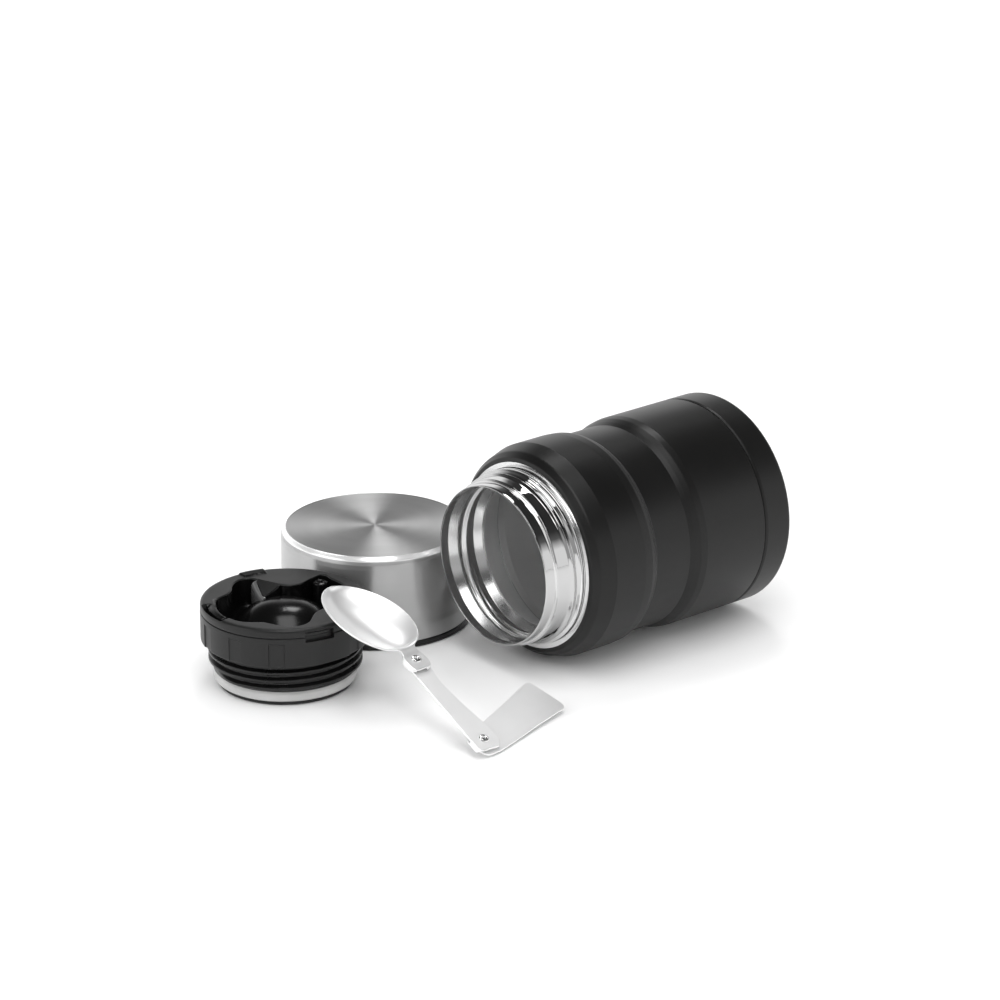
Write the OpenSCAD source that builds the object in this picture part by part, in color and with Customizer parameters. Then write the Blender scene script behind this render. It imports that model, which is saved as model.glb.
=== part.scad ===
// Wide-mouth insulated food jar, laid out open: the jar lies on its side,
// its cup stands upside down behind it, the screw stopper stands in front of
// the mouth, and the folding spoon leans on the stopper.
// Millimetres, +Z up. The jar's axis runs along X and its mouth faces -X.

/* [Jar] */
// Outside diameter of the jar body
body_d = 96; // [94:0.5:98]
// Height of the jar from its base to the lip
jar_h = 133.9; // [132:0.1:136]
// Height of the separate base cup
base_cup_h = 16.4; // [12:0.2:20]
// Outside radius of the narrow waist
waist_r = 45.6; // [45:0.1:47]
// Inside radius of the vacuum vessel
vessel_r = 42; // [40:0.25:42]
// Inside radius of the mouth at the lip
mouth_r = 35; // [34:0.1:35]
// Thickness of the jar's steel
steel_t = 0.8; // [0.5:0.1:1]

/* [Cup] */
// Radius of the cup's steel side
cup_r = 42.4; // [41.5:0.1:42.8]
// Height of the cup
cup_h = 43.4; // [40:0.2:48]
// Inside radius of the cup's lining
cup_in_r = 39.8; // [39:0.1:40]

/* [Stopper] */
// Radius of the stopper's grip ring
grip_r = 36.5; // [35.8:0.1:37]
// Height of the stopper
stopper_h = 37.4; // [36:0.2:40]
// Radius over the stopper's thread
stopper_thread_r = 33.4; // [32.8:0.1:33.6]
// Depth of the recess in the top of the stopper
recess_depth = 13; // [8:0.5:15]

/* [Spoon] */
// Length of the bowl of the spoon
bowl_l = 47; // [42:0.5:50]
// Half the width of the bowl
bowl_w = 17.2; // [14:0.2:19]
// Depth of the bowl
bowl_depth = 5.8; // [4:0.2:6]
// Distance between the two rivets
arm_l = 49.2; // [45:0.2:52]
// Angle of the handle plate from straight
handle_angle = 108.9; // [0:0.1:160]
// Radius of the rivets' shanks
rivet_r = 1.3; // [1:0.05:1.6]

/* [Hidden] */

$fn = 96;
R = body_d / 2;

// Places of the four things on the table
jar_at = [123, -25.86, R];
cup_at = [-10.9, 55.34, 0];
stopper_at = [-86.5, 23.24, 0];
stopper_turn = -40;
spoon_at = [-71.9, -48.46, 28.1];
spoon_tilt = [1.46, -23.73, 99.03];
arm_turn = 171.9;
sheet_gap = 1.4;
tang_t = 0.9;
arm_t = 1;
plate_t = 0.9;

module on_side() translate(jar_at) rotate([0, -90, 0]) children();
module by_stopper() translate(stopper_at) rotate([0, 0, stopper_turn]) children();
module by_tang() translate(spoon_at) rotate(spoon_tilt) children();
module by_arm() by_tang() translate([0, 0, -tang_t - sheet_gap]) rotate([0, 0, arm_turn]) children();
module by_plate() by_arm() translate([arm_l, 0, -arm_t - 1.3]) rotate([0, 0, handle_angle]) children();

// A wall of revolution between an outer line and the same line moved inward
module wall(line, t) rotate_extrude()
    polygon(concat(line, [for (i = [len(line) - 1:-1:0]) [line[i][0] - t, line[i][1]]]));

// A ring of rectangular section
module ring(r_out, r_in, z0, z1) difference() {
    translate([0, 0, z0]) cylinder(r = r_out, h = z1 - z0);
    translate([0, 0, z0 - 1]) cylinder(r = r_in, h = z1 - z0 + 2);
}

// One start of a screw thread: a ridge that climbs from z0 to z1.
// It stands out from a wall of radius r_wall, or inward if r_crest is smaller.
module ridge(r_wall, r_crest, w_wall, w_crest, lead, z0, z1, a0, seg = 30) {
    n = ceil((z1 - z0) / lead * seg);
    out = r_crest > r_wall;
    function rc(i) = r_wall + (r_crest - r_wall) * min(1, (min(i, n - i) + 0.5) / 3);
    pts = [for (i = [0:n])
        let (a = a0 + 360 * (z1 - z0) / lead * i / n, z = z0 + (z1 - z0) * i / n)
        for (p = [[r_wall, -w_wall / 2], [rc(i), -w_crest / 2], [rc(i), w_crest / 2], [r_wall, w_wall / 2]])
            [p[0] * cos(a), p[0] * sin(a), z + p[1]]];
    side = [for (i = [0:n - 1]) for (j = [0:3])
        let (a = 4 * i + j, b = 4 * i + (j + 1) % 4, c = 4 * i + 4 + (j + 1) % 4, d = 4 * i + 4 + j)
        each [[a, b, c], [a, c, d]]];
    ends = [[0, 3, 2], [0, 2, 1], [4 * n, 4 * n + 1, 4 * n + 2], [4 * n, 4 * n + 2, 4 * n + 3]];
    f = concat(side, ends);
    polyhedron(points = pts, faces = out ? f : [for (t = f) [t[0], t[2], t[1]]]);
}

// ---- jar ----

// Painted outer wall: straight body, waist, upper band and shoulder.
// Below the joint line it steps in and runs down inside the base cup.
module outer_shell() color("#161616") on_side() {
    wall([[R - 1, 1.8], [R - 1, 17], [R, 17.05], [R, 53], [R - 0.4, 54.6], [waist_r + 0.4, 59.6],
        [waist_r, 61.4], [waist_r, 78.8], [waist_r + 0.6, 80.2], [R - 0.5, 81.4], [R, 82.6],
        [R, 103.6], [R - 0.5, 106.5], [R - 1.25, 109.2], [R - 2.5, 111.6], [R - 3.55, 113.4],
        [R - 4.65, 114.4], [R - 6.4, 115], [38.8, 115.1]], steel_t);
}

// Painted cup that closes the bottom, with a shallow recess underneath
module base_cup() color("#161616") on_side() rotate_extrude()
    polygon([[0, 0.8], [38, 0.8], [39, 0], [46, 0], [47.4, 0.6], [R, 2], [R, base_cup_h],
        [R - 0.95, base_cup_h], [R - 0.95, 1.8], [0, 1.8]]);

// Steel disc that closes the vacuum space, with a seal hole in its middle
module shell_bottom() color("silver") on_side() difference() {
    rotate_extrude() polygon([[0, 4.6], [30, 4.6], [40, 2.6], [R - 1 - steel_t - 0.05, 2.6],
        [R - 1 - steel_t - 0.05, 3.4], [40, 3.4], [30, 5.4], [0, 5.4]]);
    cylinder(r = 2, h = 10);
}

// Plug that seals the evacuated space
module vacuum_seal_plug() color("dimgray") on_side() {
    translate([0, 0, 3.4]) cylinder(r = 4, h = 1.2);
    translate([0, 0, 4.5]) cylinder(r = 1.97, h = 1);
}

// Food vessel with the neck: sealing ledge, threads inside and outside, lip
module inner_vessel() color("lightgray") on_side() {
    difference() {
        rotate_extrude() polygon([[0, 8], [vessel_r - 5.4, 8], [vessel_r - 1.4, 9.4], [vessel_r + 0.6, 13.4],
            [vessel_r + 0.6, 92], [vessel_r - 1.2, 97], [36.6, 106.4], [34.6, 110],
            [34.9, 113.6], [37.4, 114.4], [37.4, 128], [36, 129.2], [35.7, 130], [35.7, jar_h - 0.6], [35.5, jar_h],
            [35.1, jar_h], [mouth_r, jar_h - 0.3], [mouth_r, 130.2], [36.6, 128.4], [36.6, 116.6], [34.1, 115.4],
            [34.1, 112.2], [33.3, 110.6], [35.2, 106], [vessel_r - 1.9, 96.6], [vessel_r, 91.6], [vessel_r, 13.6],
            [vessel_r - 1.8, 10], [vessel_r - 5.6, 8.7], [0, 8.7]]);
    }
    for (a = [0, 180]) ridge(37.2, 38.9, 3.4, 2, 8.5, 118.2, 126, a + 150);
    for (a = [0, 180]) ridge(36.8, 34, 3, 1.4, 8.5, 118.6, 126.6, a + 30);
}

// Heat-reflecting foil wrapped round the vessel inside the vacuum
module copper_foil() color("#b87333") on_side() ring(vessel_r + 0.9, vessel_r + 0.7, 16, 88);

// Gas-absorbing pill in its clip under the vessel
module getter() color("gray") on_side() translate([18, 0, 6]) {
    cylinder(r = 4, h = 1.5);
    translate([-7, -3, 1.5]) cube([14, 6, 0.4]);
}

// ---- cup, upside down ----

module cup_shell() color("silver") translate(cup_at) rotate_extrude()
    polygon([[0, cup_h - 0.9], [cup_r - 3.1, cup_h - 0.9], [cup_r - 1.4, cup_h - 1.6], [cup_r - 0.8, cup_h - 3],
        [cup_r - 0.8, 2.9], [cup_r, 2.9], [cup_r, cup_h - 2.6], [cup_r - 0.7, cup_h - 0.9],
        [cup_r - 2.4, cup_h - 0.2], [cup_r - 3.4, cup_h], [0, cup_h]]);

// Plastic lining with the rim that the cup stands on and the thread inside
module cup_liner() color("#1b1b1b") translate(cup_at) {
    rotate_extrude() polygon([[cup_in_r, 0], [42.6, 0], [43, 0.4], [43, 2.6], [42.8, 2.85], [cup_r - 0.85, 2.85],
        [cup_r - 0.85, cup_h - 3.2], [cup_r - 1.5, cup_h - 1.8], [cup_r - 3.2, cup_h - 1], [0, cup_h - 1],
        [0, cup_h - 2.4], [cup_in_r - 2, cup_h - 2.4], [cup_in_r, cup_h - 4.4]]);
    for (a = [0, 180]) ridge(cup_in_r + 0.3, 38.2, 2.6, 1.4, 8.5, 5, 12, a + 37);
}

// ---- stopper ----

// Lower cup of the stopper with its screw thread and its wall up into the grip ring
module stopper_body() color("#141414") by_stopper() {
    rotate_extrude() polygon([[0, 2], [26.6, 2], [26.6, 6.7], [30.9, 6.7], [31.4, 7.4], [31.4, 20.3],
        [33.9, 20.3], [33.9, 33.3], [32.3, 33.3], [32.3, 21.9], [29.6, 21.9], [29.6, 8.6], [0, 8.6]]);
    ridge(31.2, stopper_thread_r, 2.6, 1.1, 3.5, 8.4, 17.6, 200, 36);
}

// Ring gripped by the fingers: flat pads round its side
module stopper_grip_ring() color("#1a1a1a") by_stopper() difference() {
    translate([0, 0, 20.2]) cylinder(r = grip_r, h = 13.1);
    translate([0, 0, 20.2]) translate([0, 0, -1]) cylinder(r = 33.95, h = 16);
    for (i = [0:11]) if (i != 9) rotate([0, 0, 30 * i + 26.8])
        translate([grip_r - 0.6, -3.3, 23]) cube([2, 6.6, 8]);
    rotate([0, 0, -63]) translate([30, -6.5, 31.2]) cube([8, 13, 4]);
}

// Outline of the recess, grown by g
module recess(g) {
    intersection() {
        circle(r = 29 + g);
        translate([-29 - g, -23 - g]) square([56 + 2 * g, 38.5 + 2 * g]);
    }
    translate([-15.6, 13.4]) circle(r = 9.6 + g);
    translate([14.4, 22.6]) circle(r = 4.6 + g);
    translate([3, -21.8]) circle(r = 9.4 + g);
}

// Top of the stopper: a rolled rim round a recess with two finger bays
module stopper_tray() color("#101010") by_stopper() {
    difference() {
        union() {
            rotate_extrude() polygon([[0, 33.35], [36, 33.35], [36.4, 33.9], [36.4, stopper_h - 1.4],
                [35.6, stopper_h - 0.3], [34.8, stopper_h], [0, stopper_h]]);
            intersection() {
                translate([0, 0, stopper_h - recess_depth - 1.6]) linear_extrude(recess_depth - 0.4) recess(1.5);
                translate([0, 0, 10]) cylinder(r = 32.2, h = 40);
            }
        }
        translate([0, 0, stopper_h - recess_depth]) linear_extrude(recess_depth + 1) recess(0);
        rotate([0, 0, -63]) translate([31.5, -6, 32]) cube([8, 12, 3]);
    }
    translate([-1, 0, stopper_h - recess_depth - 0.1]) rotate_extrude()
        polygon([[0, 0], [13, 0], [12.4, 3], [10.6, 5.6], [7.6, 7.4], [4, 8.3], [0, 8.6]]);
}

// Foam disc that keeps the heat in
module stopper_insulation() color("ivory") by_stopper()
    translate([0, 0, 8.7]) cylinder(r = 29.5, h = 13);

// Silicone ring that seals against the ledge in the neck
module stopper_gasket() color("#c9c9c4") by_stopper() rotate_extrude()
    polygon([[26.65, 2.05], [30.2, 2.05], [30.9, 2.8], [30.9, 5.6], [30.4, 6.65], [26.65, 6.65]]);

// Disc under the stopper that holds the ring
module stopper_base_plate() color("#101010") by_stopper() rotate_extrude()
    polygon([[0, 0.4], [24, 0.4], [25, 0], [28.8, 0], [29.6, 0.6], [29.6, 1.95], [0, 1.95]]);

// ---- folding spoon ----

// Bowl: a dished sheet between two grids of points.
// u runs from the neck to the tip, v from side to side.
function bowl_x(u) = (1 - cos(u)) / 2 * bowl_l;
function bowl_half(u) = bowl_w * sin(u) * (1 + 0.09 * cos(u));
function bowl_top(u, v) = let (k = cos(u))
    [bowl_x(u), v * bowl_half(u), -k * k - bowl_depth * sin(u) * (1 - v * v)];
module bowl_sheet(nu = 22, nv = 12, t = 0.8) {
    us = [for (i = [0:nu]) 20 + (172 - 20) * i / nu];
    top = [for (u = us) for (j = [0:nv]) bowl_top(u, -1 + 2 * j / nv)];
    low = [for (p = top) [p[0], p[1], p[2] - t]];
    m = nv + 1;
    k = (nu + 1) * m;
    function quad(a, b, c, d) = [[a, b, c], [a, c, d]];
    f = concat(
        [for (i = [0:nu - 1]) for (j = [0:nv - 1]) each quad(i * m + j, i * m + j + 1, (i + 1) * m + j + 1, (i + 1) * m + j)],
        [for (i = [0:nu - 1]) for (j = [0:nv - 1]) each quad(k + i * m + j, k + (i + 1) * m + j, k + (i + 1) * m + j + 1, k + i * m + j + 1)],
        [for (i = [0:nu - 1]) each quad(i * m, (i + 1) * m, k + (i + 1) * m, k + i * m)],
        [for (i = [0:nu - 1]) each quad(i * m + nv, k + i * m + nv, k + (i + 1) * m + nv, (i + 1) * m + nv)],
        [for (j = [0:nv - 1]) each quad(j, k + j, k + j + 1, j + 1)],
        [for (j = [0:nv - 1]) each quad(nu * m + j, nu * m + j + 1, k + nu * m + j + 1, k + nu * m + j)]);
    polyhedron(points = concat(top, low), faces = f);
}

// Bowl with its cranked tang; the tang's side is folded down as a lip
module spoon_bowl() color("gainsboro") by_tang() {
    translate([5.9, 0, 2.85]) rotate([0, 4.6, 0]) bowl_sheet();
    difference() {
        intersection() {
            translate([0, 12, 0]) rotate([90, 0, 0]) linear_extrude(24)
                polygon([[-5.4, -tang_t], [3, -tang_t], [8.8, 1.2], [10.4, 1.2], [10.4, 2.2],
                    [8, 2.2], [2.6, 0], [-5.4, 0]]);
            translate([0, 0, -5]) linear_extrude(20) union() {
                translate([-5.3, -3.4]) square([3, 9]);
                translate([-3.4, -5.2]) square([13, 11]);
                translate([-3.4, -3.3]) circle(r = 1.9);
            }
        }
        translate([0, 0, -3]) cylinder(r = rivet_r, h = 6);
    }
    translate([-4, 6.4, -2]) rotate([50, 0, 0]) cube([5.6, 0.8, 1.2]);
    translate([-4.4, 5.3, -tang_t]) cube([6, 1.1, tang_t]);
    translate([-4.4, 5.9, -2]) cube([6, 0.9, 1.6]);
}

module bowl_rivet() color("silver") by_tang() {
    rotate_extrude() polygon([[0, 0.02], [2.35, 0.02], [2.3, 0.4], [1.7, 0.75], [0, 0.8]]);
    translate([0, 0, -4.2]) cylinder(r = rivet_r - 0.02, h = 4.4);
    translate([0, 0, -4.2]) cylinder(r = 2.1, h = 0.75);
}

module bowl_washer() color("dimgray") by_tang() ring(3, rivet_r + 0.02, -tang_t - 1.15, -tang_t - 0.02);

// Middle link of the spoon: waisted plate with a lip on its left side
module spoon_arm() color("gainsboro") by_arm() {
    difference() {
        translate([0, 0, -arm_t]) linear_extrude(arm_t) union() {
            polygon([[-3, -4], [10, -4.4], [26, -5.1], [arm_l, -6.4], [arm_l + 4, -6.2], [arm_l + 5.8, -4.8],
                [arm_l + 5.8, 3.4], [arm_l + 4.4, 5.4], [arm_l, 6.9], [40, 6.6], [28.5, 5.1], [17.3, 4.1],
                [11.1, 4.5], [4, 5.6], [-3, 5.2]]);
            translate([-1.2, 0.6]) circle(r = 4.8);
        }
        translate([0, 0, -5]) cylinder(r = rivet_r + 0.04, h = 10);
        translate([arm_l, 0, -5]) cylinder(r = rivet_r, h = 10);
    }
    translate([arm_l - 1.4, -7.3, -2]) cube([6.4, 0.9, 2]);
    translate([arm_l - 1.4, -7, -arm_t]) cube([6.4, 2, arm_t]);
}

module handle_rivet() color("silver") by_arm() translate([arm_l, 0, 0]) {
    rotate_extrude() polygon([[0, 0.02], [2.35, 0.02], [2.3, 0.4], [1.7, 0.75], [0, 0.8]]);
    translate([0, 0, -4.1]) cylinder(r = rivet_r - 0.02, h = 4.3);
    translate([0, 0, -4.1]) cylinder(r = 2.1, h = 0.75);
}

module handle_washer() color("dimgray") by_arm() translate([arm_l, 0, 0])
    ring(3, rivet_r + 0.02, -arm_t - 1.15, -arm_t - 0.02);

// Broad end plate of the spoon's handle with rounded corners
module spoon_handle() color("gainsboro") by_plate() difference() {
    translate([0, 0, -plate_t]) linear_extrude(plate_t) union() {
        polygon([[-3.6, -5.4], [-1, -7.2], [3.8, -8], [34, -9.4], [50.6, -10.2], [50.6, -10.3],
            [53.6, -7], [53.4, 5.8], [50.4, 9.1], [31.5, 8], [12, 7.2], [0, 6.4], [-3.6, 4.6]]);
        translate([50.6, -7.3]) circle(r = 3);
        translate([50.4, 6.1]) circle(r = 3);
        circle(r = 6.2);
    }
    translate([0, 0, -5]) cylinder(r = rivet_r + 0.04, h = 10);
}

outer_shell();
base_cup();
shell_bottom();
vacuum_seal_plug();
inner_vessel();
copper_foil();
getter();
cup_shell();
cup_liner();
stopper_body();
stopper_grip_ring();
stopper_tray();
stopper_insulation();
stopper_gasket();
stopper_base_plate();
spoon_bowl();
bowl_rivet();
bowl_washer();
spoon_arm();
handle_rivet();
handle_washer();
spoon_handle();
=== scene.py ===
import bpy
import bmesh
import numpy as np
from math import sin, cos, tan, pi, radians, sqrt, atan2, hypot
from mathutils import Matrix, Vector


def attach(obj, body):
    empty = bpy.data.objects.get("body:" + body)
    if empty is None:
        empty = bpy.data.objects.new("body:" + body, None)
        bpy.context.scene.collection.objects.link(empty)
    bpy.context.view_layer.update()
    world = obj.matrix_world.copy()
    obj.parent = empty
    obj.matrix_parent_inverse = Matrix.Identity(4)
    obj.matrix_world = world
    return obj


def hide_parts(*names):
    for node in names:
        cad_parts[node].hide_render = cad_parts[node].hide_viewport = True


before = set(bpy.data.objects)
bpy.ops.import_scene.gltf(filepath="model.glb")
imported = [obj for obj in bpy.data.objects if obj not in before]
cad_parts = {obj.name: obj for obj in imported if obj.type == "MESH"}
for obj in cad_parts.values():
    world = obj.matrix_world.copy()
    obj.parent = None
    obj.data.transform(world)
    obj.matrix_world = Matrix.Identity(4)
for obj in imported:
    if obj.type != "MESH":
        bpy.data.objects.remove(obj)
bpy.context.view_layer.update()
MM = 0.001

# ---------------------------------------------------------------- places (mm)
# The same places as part.scad's layout section.


def at_mm(p):
    return Matrix.Translation(Vector(p) * MM)


def turn(x=0.0, y=0.0, z=0.0):
    return Matrix.Rotation(radians(z), 4, "Z") @ Matrix.Rotation(radians(y), 4, "Y") @ Matrix.Rotation(radians(x), 4, "X")


JAR = at_mm((123, -25.86, 48)) @ turn(y=-90)
CUP = at_mm((-10.9, 55.34, 0))
STOPPER = at_mm((-86.5, 23.24, 0)) @ turn(z=-40)
TANG = at_mm((-71.9, -48.46, 28.1)) @ turn(1.46, -23.73, 99.03)
ARM = TANG @ at_mm((0, 0, -2.3)) @ turn(z=171.9)
PLATE = ARM @ at_mm((49.2, 0, -2.3)) @ turn(z=108.9)

# ---------------------------------------------------------------- camera
scene = bpy.context.scene
cam_data = bpy.data.cameras.new("view")
cam_data.sensor_width = 36.0
cam_data.lens = 151.2
cam_data.clip_start = 0.05
cam_data.clip_end = 40.0
cam = bpy.data.objects.new("view", cam_data)
scene.collection.objects.link(cam)
eye = Vector((-1098.76, -1315.53, 717.43)) * MM
aim = Vector((125.38, 129.87, 0)) * MM
cam.location = eye
cam.rotation_euler = (aim - eye).to_track_quat("-Z", "Y").to_euler()
scene.camera = cam
scene.view_settings.view_transform = "Standard"

# ---------------------------------------------------------------- mesh tools


def smooth(t):
    t = np.clip(t, 0.0, 1.0)
    return t * t * (3 - 2 * t)


def rounded(points, n=5):
    """A line of (a, b) or (a, b, radius) points with its corners rounded."""
    out = []
    last = len(points) - 1
    for i, p in enumerate(points):
        f = p[2] if len(p) > 2 else 0.0
        if f <= 0 or i in (0, last):
            out.append((p[0], p[1]))
            continue
        a = np.array(points[i - 1][:2], float) - p[:2]
        b = np.array(points[i + 1][:2], float) - p[:2]
        la, lb = np.linalg.norm(a), np.linalg.norm(b)
        a, b = a / la, b / lb
        c = float(np.clip(a @ b, -1, 1))
        half = np.arccos(c) / 2
        if half > radians(89.5):
            out.append((p[0], p[1]))
            continue
        t = min(f / tan(half), 0.48 * la, 0.48 * lb)
        f = t * tan(half)
        m = (a + b) / np.linalg.norm(a + b)
        centre = np.array(p[:2]) + m * f / sin(half)
        s, e = np.array(p[:2]) + a * t - centre, np.array(p[:2]) + b * t - centre
        sweep = np.arccos(np.clip(s @ e / (f * f), -1, 1))
        for k in range(n + 1):
            w = k / n
            v = (np.sin((1 - w) * sweep) * s + np.sin(w * sweep) * e) / np.sin(sweep)
            out.append(tuple(centre + v))
    return out


def dense(points, step):
    """The same line with no segment longer than step."""
    out = [points[0]]
    for p, q in zip(points, points[1:]):
        n = max(1, int(np.ceil(hypot(q[0] - p[0], q[1] - p[1]) / step)))
        out += [(p[0] + (q[0] - p[0]) * k / n, p[1] + (q[1] - p[1]) * k / n) for k in range(1, n + 1)]
    return out


def finish_mesh(name, bm, place, mats, body, replaces=(), sharp=35.0, weighted=True):
    bmesh.ops.recalc_face_normals(bm, faces=bm.faces)
    bm.transform(place)
    me = bpy.data.meshes.new(name)
    bm.to_mesh(me)
    bm.free()
    for m in mats:
        me.materials.append(m)
    me.shade_smooth()
    if sharp:
        me.set_sharp_from_angle(angle=radians(sharp))
    ob = bpy.data.objects.new(name, me)
    scene.collection.objects.link(ob)
    if weighted:
        w = ob.modifiers.new("normals", "WEIGHTED_NORMAL")
        w.keep_sharp = True
        w.weight = 80
    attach(ob, body)
    if replaces:
        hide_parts(*replaces)
    return ob


def revolve(bm, line, seg=192, closed=False, warp=None, mat=None, phis=None):
    """Turns a line of (r, z) points round z. warp(r, z, phi) moves grid points, mat(r, z) picks a material."""
    r = np.array([p[0] for p in line], float)
    z = np.array([p[1] for p in line], float)
    phi = np.radians(np.array(phis, float)) if phis is not None else np.arange(seg) * 2 * pi / seg
    seg = len(phi)
    R, P = np.meshgrid(r, phi, indexing="ij")
    Z, _ = np.meshgrid(z, phi, indexing="ij")
    if warp:
        R, Z = warp(R, Z, np.degrees(P))
    rings = []
    for k in range(len(line)):
        if r[k] < 1e-6:
            v = bm.verts.new((0, 0, Z[k, 0] * MM))
            rings.append([v] * seg)
        else:
            rings.append([bm.verts.new((R[k, j] * cos(phi[j]) * MM, R[k, j] * sin(phi[j]) * MM, Z[k, j] * MM)) for j in range(seg)])
    n = len(line)
    for k in range(n if closed else n - 1):
        a, b = rings[k], rings[(k + 1) % n]
        k2 = (k + 1) % n
        index = mat((r[k] + r[k2]) / 2, (z[k] + z[k2]) / 2) if mat else 0
        for j in range(seg):
            i = (j + 1) % seg
            quad = [a[j], a[i], b[i], b[j]]
            face = []
            for v in quad:
                if v not in face:
                    face.append(v)
            if len(face) > 2:
                f = bm.faces.new(face)
                f.material_index = index
    return rings


def curve_through(points, n, closed=True):
    """n points on a smooth closed curve through the given points (Catmull-Rom, centripetal-like spacing)."""
    p = np.array(points, float)
    m = len(p)
    seg = np.linalg.norm(np.roll(p, -1, 0) - p, axis=1)
    out = []
    total = seg.sum()
    for i in range(m):
        p0, p1, p2, p3 = p[i - 1], p[i], p[(i + 1) % m], p[(i + 2) % m]
        k = max(2, int(round(n * seg[i] / total)))
        t0, t1 = 0.0, np.linalg.norm(p1 - p0) ** 0.5
        t2 = t1 + np.linalg.norm(p2 - p1) ** 0.5
        t3 = t2 + np.linalg.norm(p3 - p2) ** 0.5
        for j in range(k):
            t = t1 + (t2 - t1) * j / k
            a1 = (t1 - t) / (t1 - t0) * p0 + (t - t0) / (t1 - t0) * p1
            a2 = (t2 - t) / (t2 - t1) * p1 + (t - t1) / (t2 - t1) * p2
            a3 = (t3 - t) / (t3 - t2) * p2 + (t - t2) / (t3 - t2) * p3
            b1 = (t2 - t) / (t2 - t0) * a1 + (t - t0) / (t2 - t0) * a2
            b2 = (t3 - t) / (t3 - t1) * a2 + (t - t1) / (t3 - t1) * a3
            out.append((t2 - t) / (t2 - t1) * b1 + (t - t1) / (t2 - t1) * b2)
    return np.array(out)


def round_outline(points, step=0.6, n=7):
    """A closed outline from corner points (x, y, radius), evenly sampled."""
    m = len(points)
    out = []
    for i in range(m):
        tri = [points[i - 1][:2], points[i], points[(i + 1) % m][:2]]
        got = rounded([tuple(tri[0]), tuple(tri[1]), tuple(tri[2])], n)
        out += got[1:-1]
    out.append(out[0])
    return np.array(dense(out, step)[:-1])


def sheet_from_grid(bm, top, t, edge=0.22):
    """A closed sheet of thickness t under a grid of points in mm, with rounded edges."""
    top = np.array(top, float)
    n, m = top.shape[:2]
    du = np.gradient(top, axis=0)
    dv = np.gradient(top, axis=1)
    nrm = np.cross(du, dv)
    ln = np.linalg.norm(nrm, axis=2, keepdims=True)
    nrm = nrm / np.where(ln < 1e-9, 1, ln)
    if nrm[n // 2, m // 2, 2] < 0:
        nrm = -nrm
    low = top - nrm * t
    a = [[bm.verts.new(top[i, j] * MM) for j in range(m)] for i in range(n)]
    b = [[bm.verts.new(low[i, j] * MM) for j in range(m)] for i in range(n)]
    for i in range(n - 1):
        for j in range(m - 1):
            bm.faces.new([a[i][j], a[i + 1][j], a[i + 1][j + 1], a[i][j + 1]])
            bm.faces.new([b[i][j], b[i][j + 1], b[i + 1][j + 1], b[i + 1][j]])
    loop = [(i, 0) for i in range(n)] + [(n - 1, j) for j in range(1, m)] + [(i, m - 1) for i in range(n - 2, -1, -1)] + [(0, j) for j in range(m - 2, 0, -1)]
    k = len(loop)
    pts = np.array([top[i, j] for i, j in loop])
    bot = np.array([low[i, j] for i, j in loop])
    inside = []
    for i, j in loop:
        ii = min(max(i, 1), n - 2)
        jj = min(max(j, 1), m - 2)
        inside.append(top[ii, jj])
    tang = np.roll(pts, -1, 0) - np.roll(pts, 1, 0)
    tang /= np.maximum(np.linalg.norm(tang, axis=1, keepdims=True), 1e-9)
    nl = np.array([nrm[i, j] for i, j in loop])
    outw = np.cross(tang, nl)
    sign = np.sum(outw * (pts - np.array(inside)), axis=1)
    outw = outw * np.where(sign < 0, -1, 1)[:, None]
    outw /= np.maximum(np.linalg.norm(outw, axis=1, keepdims=True), 1e-9)
    rows = [[a[i][j] for i, j in loop]]
    for f, o in ((0.12, 0.7), (0.35, 1.0), (0.65, 1.0), (0.88, 0.7)):
        p = pts + (bot - pts) * f + outw * edge * o
        rows.append([bm.verts.new(q * MM) for q in p])
    rows.append([b[i][j] for i, j in loop])
    for r0, r1 in zip(rows, rows[1:]):
        for q in range(k):
            w = (q + 1) % k
            bm.faces.new([r0[q], r0[w], r1[w], r1[q]])


# ---------------------------------------------------------------- materials


def new_material(name):
    m = bpy.data.materials.new(name)
    m.use_nodes = True
    nt = m.node_tree
    return m, nt, nt.nodes["Principled BSDF"]


def coords(nt, place=None):
    """Object coordinates, or those of the frame that place describes."""
    c = nt.nodes.new("ShaderNodeTexCoord").outputs["Object"]
    if place is None:
        return c
    loc, rot, _ = place.inverted().decompose()
    m = nt.nodes.new("ShaderNodeMapping")
    nt.links.new(c, m.inputs["Vector"])
    m.inputs["Location"].default_value = loc
    m.inputs["Rotation"].default_value = rot.to_euler("XYZ")
    return m.outputs["Vector"]


def mapping(nt, source, scale=(1, 1, 1), rotation=(0, 0, 0)):
    m = nt.nodes.new("ShaderNodeMapping")
    nt.links.new(source, m.inputs["Vector"])
    m.inputs["Scale"].default_value = scale
    m.inputs["Rotation"].default_value = rotation
    return m.outputs["Vector"]


def noise(nt, vector, scale, detail=2.0, rough=0.5, distortion=0.0):
    n = nt.nodes.new("ShaderNodeTexNoise")
    nt.links.new(vector, n.inputs["Vector"])
    n.inputs["Scale"].default_value = scale
    n.inputs["Detail"].default_value = detail
    n.inputs["Roughness"].default_value = rough
    n.inputs["Distortion"].default_value = distortion
    return n.outputs["Fac"]


def spread(nt, value, lo, hi, from_lo=0.3, from_hi=0.7):
    m = nt.nodes.new("ShaderNodeMapRange")
    nt.links.new(value, m.inputs["Value"])
    m.inputs["From Min"].default_value = from_lo
    m.inputs["From Max"].default_value = from_hi
    m.inputs["To Min"].default_value = lo
    m.inputs["To Max"].default_value = hi
    return m.outputs["Result"]


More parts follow.
